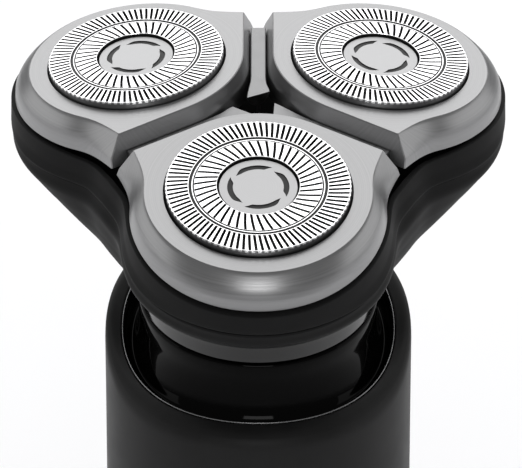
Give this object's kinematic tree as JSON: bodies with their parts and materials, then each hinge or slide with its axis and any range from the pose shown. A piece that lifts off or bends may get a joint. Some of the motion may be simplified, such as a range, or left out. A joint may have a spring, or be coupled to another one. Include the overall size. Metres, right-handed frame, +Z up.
{
  "type": "rotary electric shaver",
  "caption": "Cordless rotary shaver: a round handle with a leaning head of floating slotted cutters in metal petals, driven through a gear train by a motor in the neck.",
  "frame": {"origin": "centre of the handle's flat base", "axes": "+Z up along the handle, -Y to the front, the side that the head leans towards, +X to the object's left seen from the front"},
  "size_m": [0.0658, 0.0642, 0.1597],
  "materials": {
    "handle_matte": "fine matte moulded finish",
    "head_matte": "fine matte moulded finish",
    "gloss_black": "high gloss",
    "rim_trim": "polished thin ring",
    "button_metal": "spun satin",
    "petal_metal": "satin, faint turned lines",
    "cutter_steel": "polished bars between slots",
    "disc_metal": "fine satin",
    "blade_steel": "ground",
    "seal_rubber": "matte",
    "switch_metal": "plain",
    "window_glass": "smoked lens",
    "socket_shell": "plain",
    "grey_plastic": "moulded",
    "board": "solder mask",
    "cell_wrap": "shrink wrap",
    "motor_steel": "drawn steel",
    "fastener_steel": "plain",
    "spring_steel": "plain",
    "armature": "varnished laminations",
    "magnet": "nickel plated",
    "gear_plastic": "moulded acetal"
  },
  "bodies": {
    "handle": {"handle_shell": "handle_matte", "base_cap": "handle_matte", "rim_ring": "rim_trim", "neck_collar": "gloss_black", "button_bezel": "gloss_black", "button_seal": "seal_rubber", "tact_switch": "switch_metal", "charge_window": "window_glass", "charging_socket": "socket_shell", "inner_frame": "grey_plastic", "circuit_board": "board", "battery_cell": "cell_wrap", "motor_can": "motor_steel", "motor_end_cap": "grey_plastic", "motor_bracket": "grey_plastic", "motor_screw_1": "fastener_steel", "motor_screw_2": "fastener_steel", "shaft_seal": "seal_rubber", "neck_magnet_ring": "magnet"},
    "button": {"power_button": "button_metal"},
    "rotor": {"motor_rotor": "armature", "drive_coupling": "gear_plastic"},
    "head": {"head_base": "head_matte", "head_deck": "head_matte", "gear_cover": "grey_plastic", "centre_spider": "petal_metal", "head_magnet_ring": "magnet", "hinge_pin_1": "fastener_steel", "hinge_pin_2": "fastener_steel", "hinge_pin_3": "fastener_steel"},
    "sun": {"sun_gear": "gear_plastic"},
    "planet_1": {"planet_gear_1": "gear_plastic", "spindle_spring_1": "spring_steel"},
    "petal_holder_1": {"petal_1": "petal_metal", "petal_carrier_1": "head_matte", "cutter_retainer_1": "grey_plastic"},
    "cutter_1": {"cutter_cap_1": "cutter_steel", "cap_disc_1": "disc_metal"},
    "blade_1": {"inner_cutter_1": "blade_steel", "drive_spindle_1": "gear_plastic"},
    "planet_2": {"planet_gear_2": "gear_plastic", "spindle_spring_2": "spring_steel"},
    "petal_holder_2": {"petal_2": "petal_metal", "petal_carrier_2": "head_matte", "cutter_retainer_2": "grey_plastic"},
    "cutter_2": {"cutter_cap_2": "cutter_steel", "cap_disc_2": "disc_metal"},
    "blade_2": {"inner_cutter_2": "blade_steel", "drive_spindle_2": "gear_plastic"},
    "planet_3": {"planet_gear_3": "gear_plastic", "spindle_spring_3": "spring_steel"},
    "petal_holder_3": {"petal_3": "petal_metal", "petal_carrier_3": "head_matte", "cutter_retainer_3": "grey_plastic"},
    "cutter_3": {"cutter_cap_3": "cutter_steel", "cap_disc_3": "disc_metal"},
    "blade_3": {"inner_cutter_3": "blade_steel", "drive_spindle_3": "gear_plastic"}
  },
  "joints": [
    {"name": "power_button_press", "type": "slide", "parent": "handle", "child": "button", "axis": [0, 1, 0], "range_m": [0, 0.0006], "stiffness_N_per_m": 500, "springref_m": -0.0005},
    {"name": "head_release", "type": "slide", "parent": "handle", "child": "head", "axis": [0, -0.2588, 0.9659], "range_m": [0, 0.025]},
    {"name": "motor_spin", "type": "hinge", "parent": "handle", "child": "rotor", "pos_m": [0, 0, 0.118], "axis": [0, -0.2588, 0.9659], "continuous": true},
    {"name": "sun_spin", "type": "hinge", "parent": "head", "child": "sun", "pos_m": [0, 0, 0.118], "axis": [0, -0.2588, 0.9659], "continuous": true},
    {"name": "planet_spin_1", "type": "hinge", "parent": "head", "child": "planet_1", "pos_m": [0, -0.02313, 0.13768], "axis": [0, -0.2588, 0.9659], "continuous": true},
    {"name": "petal_tilt_1", "type": "hinge", "parent": "head", "child": "petal_holder_1", "pos_m": [0, -0.03744, 0.13906], "axis": [-1, 0, 0], "range_deg": [0, 3], "stiffness_Nm_per_rad": 0.06, "springref_deg": -4.58},
    {"name": "cutter_float_1", "type": "slide", "parent": "petal_holder_1", "child": "cutter_1", "axis": [0, 0.3616, -0.9323], "range_m": [0, 0.0008], "stiffness_N_per_m": 300, "springref_m": -0.001, "deforming": ["spindle_spring_1"]},
    {"name": "blade_spin_1", "type": "hinge", "parent": "cutter_1", "child": "blade_1", "pos_m": [0, -0.02771, 0.14992], "axis": [0, -0.3616, 0.9323], "continuous": true},
    {"name": "planet_spin_2", "type": "hinge", "parent": "head", "child": "planet_2", "pos_m": [0.01494, 0.00186, 0.14438], "axis": [0, -0.2588, 0.9659], "continuous": true},
    {"name": "petal_tilt_2", "type": "hinge", "parent": "head", "child": "petal_holder_2", "pos_m": [0.0266, 0.00706, 0.15099], "axis": [0.5, -0.8365, -0.2241], "range_deg": [0, 3], "stiffness_Nm_per_rad": 0.06, "springref_deg": -4.58},
    {"name": "cutter_float_2", "type": "slide", "parent": "petal_holder_2", "child": "cutter_2", "axis": [-0.0935, 0.2051, -0.9743], "range_m": [0, 0.0008], "stiffness_N_per_m": 300, "springref_m": -0.001, "deforming": ["spindle_spring_2"]},
    {"name": "blade_spin_2", "type": "hinge", "parent": "cutter_2", "child": "blade_2", "pos_m": [0.01602, -0.0009, 0.1571], "axis": [0.0935, -0.2051, 0.9743], "continuous": true},
    {"name": "planet_spin_3", "type": "hinge", "parent": "head", "child": "planet_3", "pos_m": [-0.01494, 0.00186, 0.14438], "axis": [0, -0.2588, 0.9659], "continuous": true},
    {"name": "petal_tilt_3", "type": "hinge", "parent": "head", "child": "petal_holder_3", "pos_m": [-0.0266, 0.00706, 0.15099], "axis": [0.5, 0.8365, 0.2241], "range_deg": [0, 3], "stiffness_Nm_per_rad": 0.06, "springref_deg": -4.58},
    {"name": "cutter_float_3", "type": "slide", "parent": "petal_holder_3", "child": "cutter_3", "axis": [0.0935, 0.2051, -0.9743], "range_m": [0, 0.0008], "stiffness_N_per_m": 300, "springref_m": -0.001, "deforming": ["spindle_spring_3"]},
    {"name": "blade_spin_3", "type": "hinge", "parent": "cutter_3", "child": "blade_3", "pos_m": [-0.01602, -0.0009, 0.1571], "axis": [-0.0935, -0.2051, 0.9743], "continuous": true}
  ],
  "couplings": [
    {"joint": "sun_spin", "follows": "motor_spin", "ratio": 1},
    {"joint": "planet_spin_1", "follows": "motor_spin", "ratio": -0.4375},
    {"joint": "blade_spin_1", "follows": "motor_spin", "ratio": -0.4375},
    {"joint": "planet_spin_2", "follows": "motor_spin", "ratio": -0.4375},
    {"joint": "blade_spin_2", "follows": "motor_spin", "ratio": -0.4375},
    {"joint": "planet_spin_3", "follows": "motor_spin", "ratio": -0.4375},
    {"joint": "blade_spin_3", "follows": "motor_spin", "ratio": -0.4375}
  ]
}
